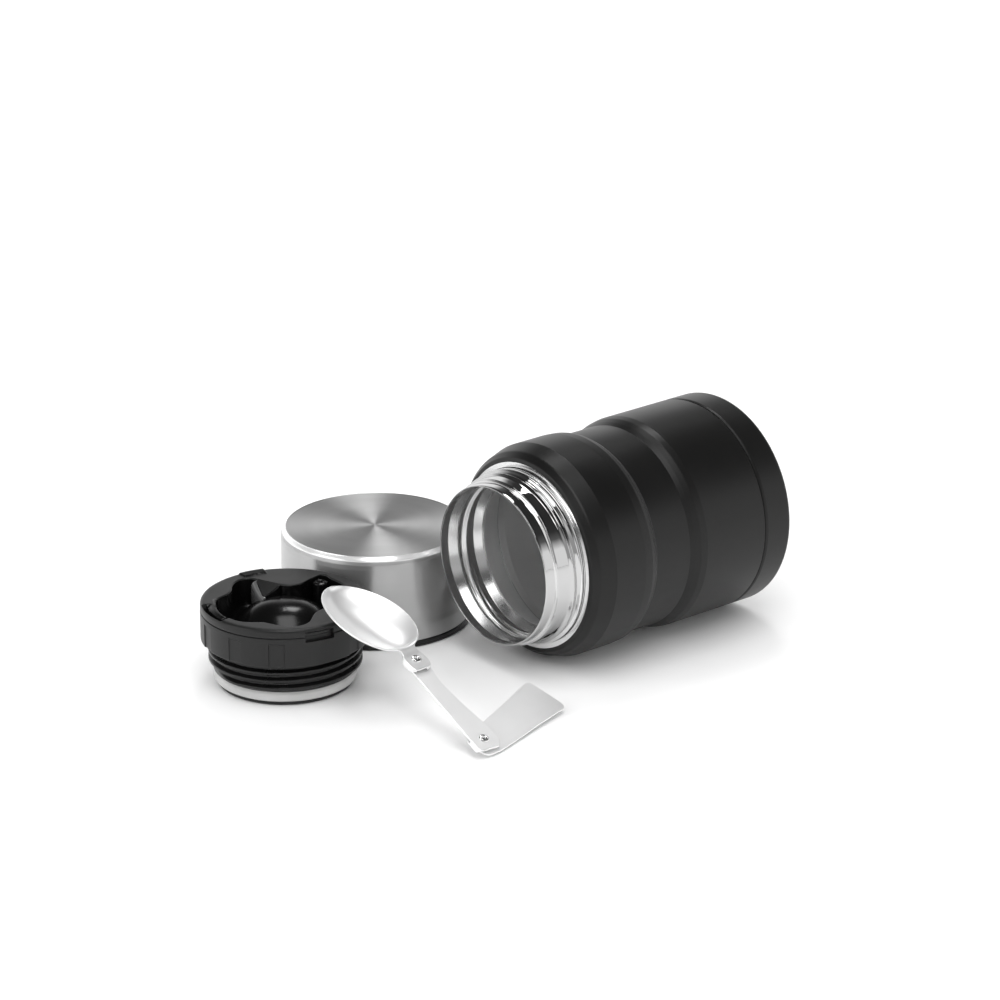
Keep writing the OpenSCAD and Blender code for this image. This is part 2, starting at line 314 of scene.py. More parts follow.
def tint(nt, value, a, b, lo=0.3, hi=0.7):
    r = nt.nodes.new("ShaderNodeValToRGB")
    nt.links.new(value, r.inputs["Fac"])
    r.color_ramp.elements[0].position = lo
    r.color_ramp.elements[1].position = hi
    r.color_ramp.elements[0].color = (*a, 1)
    r.color_ramp.elements[1].color = (*b, 1)
    return r.outputs["Color"]


def bump(nt, bsdf, height, strength, distance, after=None):
    b = nt.nodes.new("ShaderNodeBump")
    b.inputs["Strength"].default_value = strength
    b.inputs["Distance"].default_value = distance
    nt.links.new(height, b.inputs["Height"])
    if after is not None:
        nt.links.new(after, b.inputs["Normal"])
    nt.links.new(b.outputs["Normal"], bsdf.inputs["Normal"])
    return b.outputs["Normal"]


def polar(nt, place):
    """Coordinates in place's frame as (angle, radius, z)."""
    c = coords(nt, place)
    s = nt.nodes.new("ShaderNodeSeparateXYZ")
    nt.links.new(c, s.inputs[0])
    ang = nt.nodes.new("ShaderNodeMath")
    ang.operation = "ARCTAN2"
    nt.links.new(s.outputs["Y"], ang.inputs[0])
    nt.links.new(s.outputs["X"], ang.inputs[1])
    flat = nt.nodes.new("ShaderNodeCombineXYZ")
    nt.links.new(s.outputs["X"], flat.inputs["X"])
    nt.links.new(s.outputs["Y"], flat.inputs["Y"])
    rad = nt.nodes.new("ShaderNodeVectorMath")
    rad.operation = "LENGTH"
    nt.links.new(flat.outputs[0], rad.inputs[0])
    return ang.outputs[0], rad.outputs["Value"], s.outputs["Z"]


def combine(nt, x, y, z):
    c = nt.nodes.new("ShaderNodeCombineXYZ")
    for socket, v in zip(("X", "Y", "Z"), (x, y, z)):
        if v is not None:
            nt.links.new(v, c.inputs[socket])
    return c.outputs[0]


def coat_black():
    m, nt, b = new_material("black_powder_coat")
    c = coords(nt)
    broad = noise(nt, c, 26, 3)
    fine = noise(nt, c, 2600, 2)
    nt.links.new(tint(nt, broad, (0.0040, 0.0039, 0.0038), (0.0052, 0.0051, 0.0050)), b.inputs["Base Color"])
    nt.links.new(spread(nt, broad, 0.34, 0.39), b.inputs["Roughness"])
    b.inputs["IOR"].default_value = 1.375
    bump(nt, b, fine, 0.10, 0.00006)
    return m


def plastic_black(name="black_polypropylene", lo=0.36, hi=0.44, base=0.006, grain=0.10, ior=1.42):
    m, nt, b = new_material(name)
    c = coords(nt)
    broad = noise(nt, c, 60, 3)
    fine = noise(nt, c, 1900, 3)
    nt.links.new(tint(nt, broad, (base * 0.9,) * 3, (base * 1.12,) * 3), b.inputs["Base Color"])
    nt.links.new(spread(nt, broad, lo, hi), b.inputs["Roughness"])
    b.inputs["IOR"].default_value = ior
    if grain:
        bump(nt, b, fine, grain, 0.00005)
    return m


def steel(name, base, rough, place=None, lines=None, vary=0.02, spread_by=0.08, metallic=1.0):
    """Stainless steel. lines is the mapping scale that stretches the brushing noise along the piece."""
    m, nt, b = new_material(name)
    b.inputs["Metallic"].default_value = metallic
    c = coords(nt, place)
    broad = noise(nt, c, 40, 2)
    brushed = noise(nt, mapping(nt, c, lines), 1.0, 2, 0.5) if lines else noise(nt, c, 900, 2)
    nt.links.new(tint(nt, broad, (base - vary,) * 3, (base + vary,) * 3), b.inputs["Base Color"])
    nt.links.new(spread(nt, brushed, rough * (1 - spread_by), rough * (1 + spread_by)), b.inputs["Roughness"])
    return m


def steel_spun(name, place, axis, base, rough, aniso, rotation, rings, grain, vary=0.03, metallic=1.0):
    """Steel brushed in circles round the place's z: the noise runs fast along radius and height, slowly round."""
    m, nt, b = new_material(name)
    b.inputs["Metallic"].default_value = metallic
    ang, rad, z = polar(nt, place)
    v = combine(nt, ang, rad, z)
    lines = noise(nt, mapping(nt, v, (1.2, rings, rings)), 1.0, 3, 0.65)
    broad = noise(nt, mapping(nt, v, (0.6, 90, 60)), 1.0, 2)
    nt.links.new(tint(nt, broad, (base - vary,) * 3, (base + vary,) * 3), b.inputs["Base Color"])
    nt.links.new(spread(nt, lines, rough * 0.93, rough * 1.08), b.inputs["Roughness"])
    b.inputs["Anisotropic"].default_value = aniso
    b.inputs["Anisotropic Rotation"].default_value = rotation
    t = nt.nodes.new("ShaderNodeTangent")
    t.direction_type = "RADIAL"
    t.axis = axis
    nt.links.new(t.outputs[0], b.inputs["Tangent"])
    if grain:
        bump(nt, b, lines, grain, 0.00003)
    return m


def silicone():
    m, nt, b = new_material("grey_silicone")
    c = coords(nt)
    broad = noise(nt, c, 80, 2)
    nt.links.new(tint(nt, broad, (0.48, 0.48, 0.475), (0.54, 0.54, 0.535)), b.inputs["Base Color"])
    nt.links.new(spread(nt, broad, 0.42, 0.50), b.inputs["Roughness"])
    b.inputs["Subsurface Weight"].default_value = 0.25
    b.inputs["Subsurface Radius"].default_value = (0.002, 0.002, 0.002)
    b.inputs["Subsurface Scale"].default_value = 1.0
    bump(nt, b, noise(nt, c, 1500, 2), 0.06, 0.00004)
    return m


def plain(name, a, c2, rough, metallic=0.0, scale=60):
    m, nt, b = new_material(name)
    n = noise(nt, coords(nt), scale, 3)
    nt.links.new(tint(nt, n, a, c2), b.inputs["Base Color"])
    nt.links.new(spread(nt, n, rough * 0.9, rough * 1.1), b.inputs["Roughness"])
    b.inputs["Metallic"].default_value = metallic
    return m


M_COAT = coat_black()
M_PP = plastic_black()
M_PP_IN = plastic_black("black_plastic_smooth", 0.26, 0.32, 0.005, 0.05)
M_GLOSS = plastic_black("black_gloss_plastic", 0.17, 0.22, 0.003, 0.0)
M_TAB = plastic_black("black_tab_plastic", 0.45, 0.52, 0.0025, 0.05, 1.22)
# lighter black plastic for the tongue's flank (base 0.095 against 0.006): a painted highlight
M_FLANK_PAINTED_HIGHLIGHT = plastic_black("flank_plastic_painted_highlight", 0.20, 0.26, 0.095, 0.0, 1.6)
M_NECK = steel("polished_steel", 0.56, 0.05, vary=0.012)
M_NECK_IN = steel("satin_polished_mouth", 0.66, 0.19, vary=0.012)
# the steel collar where the neck meets the shoulder: the neck's steel made rougher and painted lighter (0.80 against
# 0.56), a painted highlight
M_BRIGHT_COLLAR_PAINTED = steel("collar_steel_painted_highlight", 0.80, 0.20, vary=0.012)
# the vessel's inside is one satin steel in two copies, lighter (0.82) on the cone near the mouth and darker (0.74) on
# the deep wall: painted light and shade by depth
M_SATIN_IN = steel_spun("satin_vessel_steel", JAR, "X", 0.82, 0.42, 0.4, 0.25, 2600, 0.05, metallic=0.55)
M_VESSEL_WALL_PAINTED_SHADE = steel_spun("vessel_wall_steel_painted_shade", JAR, "X", 0.74, 0.36, 0.4, 0.25, 2600, 0.05, metallic=0.65)
# the rounded top corner of the cup: the side's steel painted twice as light (0.90 against 0.45) and half diffuse, a
# painted highlight band
M_CUP_CORNER_PAINTED_HIGHLIGHT = steel_spun("cup_corner_steel_painted_highlight", CUP, "Z", 0.90, 0.24, 0.8, 0.25, 5200, 0.02, metallic=0.48)
M_CUP_TOP = steel_spun("spun_cup_top", CUP, "Z", 0.43, 0.34, 0.9, 0.25, 5200, 0.06)
M_CUP_SIDE = steel_spun("brushed_cup_side", CUP, "Z", 0.45, 0.31, 0.8, 0.25, 5200, 0.012, metallic=0.84)
M_ARM = steel("satin_link_steel", 0.89, 0.44, ARM, (60, 2400, 2400), metallic=0.58)
M_PLATE = steel("satin_handle_steel", 0.89, 0.44, PLATE, (60, 2400, 2400), metallic=0.58)
M_BOWL = steel("satin_bowl_steel", 0.86, 0.34, TANG, (90, 1800, 1800), metallic=0.66)
M_RIVET = steel("rivet_steel", 0.80, 0.14, vary=0.02)
M_SILICONE = silicone()
M_HIDDEN = plain("plain_sheet_steel", (0.48, 0.48, 0.49), (0.56, 0.56, 0.57), 0.4, 1.0)
M_COPPER = plain("copper_foil", (0.72, 0.34, 0.20), (0.80, 0.42, 0.26), 0.22, 1.0, 200)
M_GETTER = plain("getter_pill", (0.22, 0.21, 0.20), (0.30, 0.29, 0.28), 0.7, 0.0, 900)
M_SEAL = plain("seal_resin", (0.05, 0.05, 0.05), (0.09, 0.09, 0.09), 0.5, 0.0, 300)
M_FOAM = plain("cell_foam", (0.74, 0.70, 0.60), (0.84, 0.81, 0.72), 0.9, 0.0, 900)

for node, material in (
    ("shell_bottom", M_HIDDEN), ("vacuum_seal_plug", M_SEAL), ("copper_foil", M_COPPER), ("getter", M_GETTER),
    ("stopper_insulation", M_FOAM), ("bowl_washer", M_HIDDEN), ("handle_washer", M_HIDDEN),
):
    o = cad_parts[node]
    o.data.materials.clear()
    o.data.materials.append(material)

# ---------------------------------------------------------------- jar


def jar_shell():
    outer = rounded([
        (47.0, 1.8), (47.0, 16.6), (47.0, 16.85, 0.05), (48.0, 16.95, 0.3), (48.0, 51.4, 4.0), (47.5, 54.6, 5.0),
        (46.55, 57.3, 5.0), (45.6, 59.6, 0.35), (45.6, 79.0, 0.8), (46.3, 80.5, 0.5), (47.15, 81.25, 0.8), (47.7, 83.4, 3.0),
        (48.0, 87.5, 4.0), (48.0, 104.2, 0.7), (45.8, 111.9, 3.5), (43.55, 114.7, 1.4), (42.2, 114.95, 0.3), (41.7, 115.0, 0.1), (39.75, 114.95, 0.1), (39.55, 114.95),
    ], 6)
    inner = [(p[0] - 0.8, p[1] - (0.55 if p[1] > 113.5 else 0.0)) for p in reversed(rounded([
        (47.0, 1.8), (47.0, 17.2, 0.3), (47.9, 17.6, 0.3), (47.9, 51.4, 3.0), (45.6, 60.0, 3.0), (45.6, 79.4, 1.0),
        (47.9, 84.5, 1.0), (47.9, 103.8, 3.0), (46.9, 109.6, 4.0), (45.0, 113.5, 1.2), (41.6, 114.9, 0.4), (40.36, 115.0),
    ], 4))]
    bm = bmesh.new()
    # slot 1, the bare annulus at the collar, takes the lighter steel that paints its highlight
    revolve(bm, outer + inner, 256, closed=True, mat=lambda r, z: 1 if (z > 114.2 and r < 41.8) else 0)
    finish_mesh("jar_outer_shell", bm, JAR, [M_COAT, M_BRIGHT_COLLAR_PAINTED], "jar", ("outer_shell",), sharp=50)


def jar_base():
    outer = rounded([
        (0, 1.6), (27.0, 1.6, 0.5), (27.6, 1.0, 0.4), (30.0, 1.0, 0.4), (30.6, 1.6, 0.5), (37.6, 1.6, 0.8), (39.0, 0.0, 0.6),
        (45.6, 0.0, 0.9), (48.0, 2.0, 2.2), (48.0, 15.0, 1.0), (47.72, 15.9, 0.5), (47.15, 16.38, 0.15), (46.85, 16.42, 0.05), (46.85, 2.8, 0.5), (45.4, 2.4, 0.6), (0, 2.4),
    ], 6)
    bm = bmesh.new()
    revolve(bm, outer, 256)
    finish_mesh("jar_base_cup", bm, JAR, [M_COAT], "jar", ("base_cup",), sharp=50)


LEAD = 8.5


def helix_distance(s, phi, s0, phi0, pitch=LEAD / 2):
    """Distance along s from the nearest thread turn, in mm."""
    d = (s - s0 - (phi - phi0) * LEAD / 360.0) / pitch
    return (d - np.round(d)) * pitch


NECK_OUT = rounded([
    (38.9, 114.5), (39.3, 114.6, 0.1), (39.1, 115.35, 0.3), (39.5, 116.5, 0.7), (39.45, 117.5, 0.5), (37.95, 118.75, 0.55), (38.65, 120.85, 0.6),
    (37.55, 121.95, 0.5), (37.45, 122.8, 1.0), (37.15, 128.0, 0.3), (36.05, 128.95, 0.3), (35.85, 129.6, 0.5), (35.75, 132.9, 0.5),
    (35.65, 133.62, 0.25), (35.42, 133.9, 0.2), (35.2, 133.9),
], 6)
NECK_S = np.array([p[1] for p in NECK_OUT[1:-2]])
NECK_R = np.array([p[0] for p in NECK_OUT[1:-2]])


def neck_warp(R, S, PHI):
    """The rolled threads of the neck: outside the ring-like beads run up in a helix, inside are ridges, two starts each."""
    outside = R > 100  # marked below
    r = R - 200 * outside
    turn_by = ((PHI - 283.0 + 180.0) % 360.0) - 180.0
    climb = LEAD * turn_by / 360.0 * (1 - smooth((np.abs(turn_by) - 120) / 58))
    zone = smooth((S - 115.9) / 1.4) * (1 - smooth((S - 123.6) / 3.2))
    bead = np.interp(S - climb * zone, NECK_S, NECK_R)
    k = helix_distance(S, PHI, 119.5, 90.0)
    e2 = smooth((S - 116.9) / 0.9) * (1 - smooth((S - 121.6) / 1.2))
    ridge = 1.6 * np.exp(-((k / np.where(k > 0, 1.0, 0.75)) ** 2)) * e2
    in_zone = (~outside) & (S > 115.4)
    return np.where(outside & (S > 115.6) & (S < 127.5), bead, np.where(in_zone, r - ridge, r)), S


def jar_vessel():
    body_out = rounded([
        (0, 8.0), (36.6, 8.0, 3.0), (41.0, 10.0, 3.5), (42.6, 14.0, 4.0), (42.6, 92.0, 6.0), (40.8, 97.5, 6.0), (36.0, 107.0, 4.0),
        (34.6, 110.6, 1.0), (37.0, 113.4, 1.2), (38.3, 114.2, 0.6), (38.9, 114.5),
    ], 5)
    neck_out = NECK_OUT
    inner = rounded([
        (35.2, 133.9), (34.98, 133.75, 0.15), (34.95, 133.2, 0.3), (35.0, 129.85, 0.3), (36.75, 128.65, 0.4), (34.6, 123.9, 0.7), (36.0, 122.9, 0.6),
        (36.15, 121.8, 1.0), (36.15, 114.4, 0.5), (33.95, 111.2, 0.5), (33.5, 110.3, 0.5),
        (33.7, 109.5, 0.8), (35.6, 105.8, 5.0), (40.1, 97.2, 0.5), (40.5, 96.3, 0.5), (42.0, 91.6, 3.0), (42.0, 14.6, 6.0), (39.6, 10.2, 5.0),
        (34.0, 8.7, 6.0), (0, 8.7),
    ], 6)
    line = [(r, s) for r, s in body_out[:-1]]
    line += [(r + 200, s) for r, s in dense(neck_out[1:], 0.22)]
    fine = dense([p for p in inner if p[1] > 109], 0.22)
    line += fine[1:] + [p for p in inner if p[1] <= 109]
    bm = bmesh.new()
    clean = []
    for r, s in line:
        if not clean or hypot(clean[-1][0] - r, clean[-1][1] - s) > 1e-4:
            clean.append((r, s))

    def mat(r, s):
        if r > 60:
            # slot 2, the neck's foot by the collar, takes the lighter steel that paints its highlight
            return 2 if s < 117.2 else 0
        # slot 1, the cone, takes the lighter copy and slot 4, the deep wall, the darker copy that paints its shade
        return 3 if s > 110.3 else (1 if s > 97.5 else (3 if s > 96.1 else 4))
    revolve(bm, clean, 288, warp=neck_warp, mat=mat)
    finish_mesh("jar_vessel_and_neck", bm, JAR, [M_NECK, M_SATIN_IN, M_BRIGHT_COLLAR_PAINTED, M_NECK_IN, M_VESSEL_WALL_PAINTED_SHADE], "jar", ("inner_vessel",), sharp=60)


jar_shell()
jar_base()
jar_vessel()

# ---------------------------------------------------------------- cup


def cup():
    outer = rounded([
        (42.4, 3.0, 0.3), (42.4, 9.6, 6.0), (42.15, 12.0, 6.0), (42.12, 37.6, 3.0), (41.98, 39.8, 2.4), (41.35, 41.75, 2.2), (40.15, 42.95, 0.6),
        (39.9, 43.36, 0.2), (39.6, 43.38, 0.15), (39.35, 43.28, 0.2), (0, 43.28),
    ], 7)
    low = (42.15, 2.9)
    inner = [(0, 42.45), (38.9, 42.5), (40.5, 40.9), (41.4, 38.5), (41.5, 11.0), (41.6, 2.9)]
    bm = bmesh.new()
    # slot 2, the band on the rounded top corner, takes the lighter steel that paints its highlight
    revolve(bm, [low] + outer + inner, 256, closed=True, mat=lambda r, z: 0 if (z > 43.0 and r < 39.65) else (2 if (z > 40.9 and r < 41.75 and r > 39.9) else 1))
    finish_mesh("cup_steel_shell", bm, CUP, [M_CUP_TOP, M_CUP_SIDE, M_CUP_CORNER_PAINTED_HIGHLIGHT], "cup", ("cup_shell",), sharp=50)

    rim = rounded([
        (40.0, 0.0), (42.3, 0.0, 0.3), (43.0, 0.45, 0.45), (43.0, 1.25, 0.1), (42.85, 1.4, 0.05), (43.0, 1.55, 0.1), (43.0, 2.5, 0.3),
        (42.6, 2.85, 0.2), (41.56, 2.85),
    ], 5)
    up = [(41.55, 2.9), (41.44, 11.0), (41.44, 38.2), (40.5, 41.0), (38.8, 42.3), (0, 42.38)]
    down = dense(rounded([(0, 41.0), (36.6, 41.0, 2.5), (39.8, 38.6, 2.0), (39.8, 0.6, 0.3), (40.0, 0.0)], 6), 0.4)

    def warp(R, Z, PHI):
        inside = (R < 39.95) & (Z > 2) & (Z < 30) & (R > 39)
        d = ((Z - 5 - (PHI - 37) * LEAD / 360.0) / (LEAD / 2))
        d = (d - np.round(d)) * LEAD / 2
        e = smooth((Z - 4.2) / 1.0) * (1 - smooth((Z - 12.2) / 1.0))
        return np.where(inside, R - 1.6 * np.exp(-((np.abs(d) / 1.0) ** 3)) * e, R), Z

    bm = bmesh.new()
    line = rim + up
    revolve(bm, line + down[1:-1], 256, closed=True, warp=warp)
    finish_mesh("cup_plastic_liner", bm, CUP, [M_PP_IN], "cup", ("cup_liner",), sharp=50)


cup()

# ---------------------------------------------------------------- stopper


def stopper_body():
    pitch = 3.5
    outer = rounded([(30.9, 6.75), (31.35, 7.3, 0.4), (31.35, 20.0, 0.3), (33.9, 20.3, 0.2), (33.9, 33.3)], 4)
    lower = [(0, 2.0), (26.6, 2.0), (26.6, 6.75), (30.9, 6.75)]
    inner = [(32.3, 33.3), (32.3, 21.9), (29.6, 21.9), (29.6, 8.6), (0, 8.6)]
    line = lower + dense(outer, 0.25)[1:] + inner

    def warp(R, Z, PHI):
        zone = (Z > 6.9) & (Z < 19.9) & (R > 31) & (R < 31.5)
        a = (PHI - 200.0) % 360.0
        rise = (Z - 8.4 - a * pitch / 360.0) / pitch
        n = np.round(rise)
        n = np.clip(n, 0, 2)
        d = (rise - n) * pitch
        turns = a / 360.0 + n
        e = smooth(turns / 0.09) * (1 - smooth((turns - 2.55) / 0.09))
        h = 1 - smooth((np.abs(d) - 0.42) / 0.95)
        return np.where(zone, R + 2.0 * h * e, R), Z

    bm = bmesh.new()
    revolve(bm, line, 240, warp=warp)
    finish_mesh("stopper_threaded_body", bm, STOPPER, [M_PP_IN], "stopper", ("stopper_body",), sharp=50)


def stopper_ring():
    edge = np.degrees(np.arcsin(3.3 / 36.3))
    marks = []
    for i in (0, 1, 2, 3, 4, 5, 6, 7, 8, 10, 11):
        c = 30 * i + 26.8
        marks += [c - edge - 0.18, c - edge + 0.18, c + edge - 0.18, c + edge + 0.18]
    notch = [-63 - 10.4 - 0.12, -63 - 10.4 + 0.12, -63 + 10.4 - 0.12, -63 + 10.4 + 0.12]
    phis = sorted(set([round(x % 360, 3) for x in list(np.arange(0, 360, 1.5)) + marks + notch]))
    keep = [phis[0]]
    special = set(round(x % 360, 3) for x in marks + notch)
    for p in phis[1:]:
        if p - keep[-1] < 0.3 and p not in special:
            continue
        keep.append(p)
    phis = keep
    outer = [(34.2, 20.2), (35.9, 20.2), (36.3, 20.32), (36.45, 20.6), (36.5, 21.0), (36.5, 25), (36.5, 30.55), (36.5, 30.95), (36.5, 31.25), (36.5, 31.3),
             (36.5, 31.5), (36.5, 32.8), (36.42, 33.08), (36.2, 33.25), (33.97, 33.3)]
    inner = [(33.97, 20.4)]

    def warp(R, Z, PHI):
        rel = ((PHI - 26.8 + 15) % 30) - 15
        flat = 35.95 / np.cos(np.radians(rel))
        panel = (np.abs(rel) < edge) & (Z < 31.0) & (R > 35) & (np.abs(((PHI + 63.2 + 180) % 360) - 180) > 14)
        depth_top = smooth((31.0 - Z) / 0.5)
        cut = np.where(panel, np.minimum(R, flat - (36.5 - R)), R)
        R2 = np.where(panel, R + (cut - R) * np.maximum(depth_top, 0), R)
        nrel = ((PHI + 63 + 180) % 360) - 180
        slot = (np.abs(nrel) < 10.4) & (Z > 31.27) & (R > 35)
        return np.where(slot, 34.7, R2), Z

    bm = bmesh.new()
    revolve(bm, outer + inner, closed=True, warp=warp, phis=phis)
    finish_mesh("stopper_grip_band", bm, STOPPER, [M_PP], "stopper", ("stopper_grip_ring",), sharp=30)


RECESS = [
    (-28.9, -0.7), (-24.6, 5.6), (-23.3, 9.5), (-23.2, 14.3), (-22.1, 19.3), (-19.7, 22.4), (-16.5, 23.5), (-13.4, 22.8), (-10.2, 20.6), (-6.8, 18.7),
    (-3.3, 16.5), (0.9, 15.3), (5.0, 16.6), (8.4, 18.6), (9.9, 20.6), (10.5, 24.6), (12.2, 27.0), (14.6, 27.9), (16.9, 27.0), (18.3, 24.4), (21.0, 21.2),
    (25.0, 15.8), (27.6, 8.0), (27.6, 1.0), (24.6, -4.2), (18.9, -9.4), (14.2, -14.6), (12.7, -20.4), (11.4, -26.4), (8.4, -29.9), (4.6, -31.1), (0.4, -30.4),
    (-3.9, -28.4), (-7.6, -26.4), (-12.6, -26.3), (-17.6, -25.4), (-24.7, -19.2), (-28.4, -10.8),
]


def stopper_tray():
    curve = curve_through(RECESS, 400)
    ang = np.degrees(np.arctan2(curve[:, 1], curve[:, 0])) % 360
    rad = np.hypot(curve[:, 0], curve[:, 1])
    order = np.argsort(ang)
    ang, rad = ang[order], rad[order]
    phis = np.arange(0, 360, 0.75)
    rho = np.interp(phis, np.concatenate([ang - 360, ang, ang + 360]), np.tile(rad, 3))
    # slight smoothing of the sampled edge
    k = np.array([1, 2, 3, 2, 1], float)
    k /= k.sum()
    rho = sum(w * np.roll(rho, s) for w, s in zip(k, range(-2, 3)))
    seg = len(phis)
    top, floor = 37.4, 24.4
    bm = bmesh.new()
    # rows: each is a function of the recess radius
    rows = [("r", 33.98, 33.36), ("r", 35.7, 33.36), ("r", 36.2, 33.5), ("r", 36.4, 33.9), ("r", 36.4, 34.6), ("r", 36.4, 35.9), ("r", 36.28, 36.45), ("r", 36.0, 36.9),
            ("r", 35.5, 37.22), ("r", 34.9, 37.36), ("r", 34.2, 37.4)]
    for t in np.linspace(0.06, 1.0, 14):
        rows.append(("m", t, 37.4))
    for a in (12, 30, 50, 70, 90):
        rows.append(("e", 0.75 * (1 - sin(radians(a))), 37.4 - 0.75 * (1 - cos(radians(a)))))
    for z in (34.5, 31.5, 28.5, 26.4):
        rows.append(("e", -0.03 * (36 - z), z))
    for a in (20, 45, 70, 90):
        rows.append(("e", -0.3 - 1.4 * (1 - cos(radians(a))), floor + 1.4 * (1 - sin(radians(a)))))
    for t in (0.93, 0.86, 0.79, 0.72, 0.65, 0.58, 0.51, 0.44, 0.36, 0.28, 0.2, 0.12, 0.05):
        rows.append(("f", t, floor))

    def dome(x, y):
        q = ((x + 0.5) / 22.0) ** 2 + ((y - 6.0) / 19.0) ** 2
        return 9.8 * (1 - np.clip(q, 0, 1) ** 1.3)

    def lip(x, y, z):
        """The tab, the clip with the slot outside it, and the gap at its end, on the rim."""
        r = hypot(x, y)
        a = np.degrees(atan2(y, x)) % 360

        def band(a0, a1, r0, r1, w=1.0, e=0.35):
            return float(smooth((a - a0) / w) * smooth((a1 - a) / w) * smooth((r - r0) / e) * smooth((r1 - r) / e))
        add = 0.6 * band(107, 127, 30.6, 36.1, 0.8, 0.25)
        add += 0.75 * band(181, 200, 28.0, 31.0, 4.0, 0.9)
        add -= 1.1 * band(190, 222, 31.0, 36.0, 2.5, 2.6)
        add -= 3.2 * band(190.5, 223, 33.5, 35.75, 1.5, 0.4)
        add -= 3.2 * band(221, 223.8, 27.0, 35.75, 0.8, 0.4)
        return z + add

    rings = []
    for kind, p, z in rows:
        ring = []
        for j in range(seg):
            c, s = cos(radians(phis[j])), sin(radians(phis[j]))
            if kind == "r":
                r = p
            elif kind == "m":
                r = 34.2 + (min(rho[j] + 0.76, 33.6) - 34.2) * p
            elif kind == "e":
                r = rho[j] + p
            else:
                r = (rho[j] - 1.7) * p
            x, y = r * c, r * s
            zz = z
            if (kind in "rm" and z > 36.8) or (kind == "e" and z > 37.0):
                zz = lip(x, y, z)
            if kind == "f":
                zz = floor + dome(x, y)
            elif kind == "e" and z < 33:
                zz = max(z, floor + dome(x, y))
            nrel = ((phis[j] + 63 + 180) % 360) - 180
            if kind == "r" and abs(nrel) < 10.2 and z < 35.0 and p > 35:
                x, y = 34.6 * c, 34.6 * s
            ring.append(bm.verts.new((x * MM, y * MM, zz * MM)))
        rings.append(ring)
    centre = bm.verts.new((0, 0, (floor + dome(0, 0)) * MM))
    for a, b in zip(rings, rings[1:]):
        for j in range(seg):
            i = (j + 1) % seg
            bm.faces.new([a[j], a[i], b[i], b[j]])
    for j in range(seg):
        bm.faces.new([rings[-1][j], rings[-1][(j + 1) % seg], centre])
    # underside: follows the recess 1.5 mm below, kept inside the ring
    under = []
    for kind, z in (("w", 33.36), ("w", 26.0), ("w", floor - 1.5), ("c", floor - 1.5)):
        ring = []
        for j in range(seg):
            c, s = cos(radians(phis[j])), sin(radians(phis[j]))
            r = min(rho[j] + 1.0, 32.1) if kind == "w" else (rho[j]) * 0.5
            ring.append(bm.verts.new((r * c * MM, r * s * MM, z * MM)))
        under.append(ring)
    chain = [rings[0]] + under
    for a, b in zip(chain, chain[1:]):
        for j in range(seg):
            i = (j + 1) % seg
            bm.faces.new([a[j], b[j], b[i], a[i]])
    low = bm.verts.new((0, 0, (floor - 1.5) * MM))
    for j in range(seg):
        bm.faces.new([under[-1][j], low, under[-1][(j + 1) % seg]])
    for f in bm.faces:
        z = f.calc_center_median().z / MM
        r = f.calc_center_median().xy.length / MM
        c = f.calc_center_median() / MM
        a = np.degrees(atan2(c.y, c.x)) % 360
        f.material_index = 0 if (z > 37.0 or r > 34) else 1
        if 107.5 < a < 126.5 and r > 30.6 and z > 36.5:
            f.material_index = 2
        elif (190 < a < 223.8 and z < 36.0 and r < 35.8):
            f.material_index = 1
    finish_mesh("stopper_top_tray", bm, STOPPER, [M_PP, M_GLOSS, M_TAB], "stopper", ("stopper_tray",), sharp=35)

    # sloping tongue between the left bay and the middle
    bm = bmesh.new()
    crest = [(-12.6, 22.6, 37.4), (-2.6, 15.2, 37.4), (-3.6, 13.6, 36.9), (-8.3, 9.9, 34.6), (-9.4, 9.6, 34.3), (-10.2, 10.4, 34.5), (-12.3, 17.0, 36.4), (-13.2, 20.6, 37.1)]
    mid = np.mean([c[:2] for c in crest], axis=0)
    levels = []
    for inset, drop in ((0.55, 0.0), (0.2, 0.08), (0.03, 0.32), (0.0, 0.7), (-0.5, 12.0)):
        ring = []
        for x, y, z in crest:
            v = np.array([x, y]) - mid
            v = v * (1 - inset / np.linalg.norm(v))
            ring.append(bm.verts.new(((mid[0] + v[0]) * MM, (mid[1] + v[1]) * MM, (z - drop if drop < 5 else 24.6) * MM)))
        levels.append(ring)
    bm.faces.new(levels[0])
    for a, b in zip(levels, levels[1:]):
        for j in range(len(crest)):
            i = (j + 1) % len(crest)
            bm.faces.new([a[j], a[i], b[i], b[j]])
    bm.faces.new(list(reversed(levels[-1])))
    for f in bm.faces:
        f.material_index = 0 if f.calc_center_median().z / MM > 33.5 and abs(f.calc_center_median().z - levels[0][0].co.z) < 3.2 * MM and len(f.verts) > 4 else 1
    finish_mesh("stopper_tray_tongue", bm, STOPPER, [M_PP, M_GLOSS], "stopper", sharp=30)

    # rounded flank of the tongue towards the left bay, in a much lighter plastic that paints its highlight
    bm = bmesh.new()
    edge_line = [(-8.9, 9.0, 33.9), (-9.6, 10.0, 34.3), (-10.6, 12.4, 34.9), (-11.7, 15.6, 35.8), (-12.6, 18.8, 36.6), (-13.2, 21.6, 37.1)]
    flank = []
    for x, y, z in edge_line:
        row = []
        for q in (-10, 0, 14, 28, 42, 56, 70, 84):
            row.append([x + 1.0 - 0.94 * (1.0 + (1.5 + 0.16 * (y - 9.0) * 0.5) * sin(radians(q))), y + 0.35 - 0.33 * (1.0 + (1.5 + 0.16 * (y - 9.0) * 0.5) * sin(radians(q))), z - 0.05 - 2.8 * (1 - cos(radians(q)))])
        row.append([row[-1][0] - 0.1, row[-1][1], 27.0])
        flank.append(row)
    sheet_from_grid(bm, flank, 0.8, 0.1)
    finish_mesh("stopper_tray_tongue_flank", bm, STOPPER, [M_FLANK_PAINTED_HIGHLIGHT], "stopper", sharp=40)

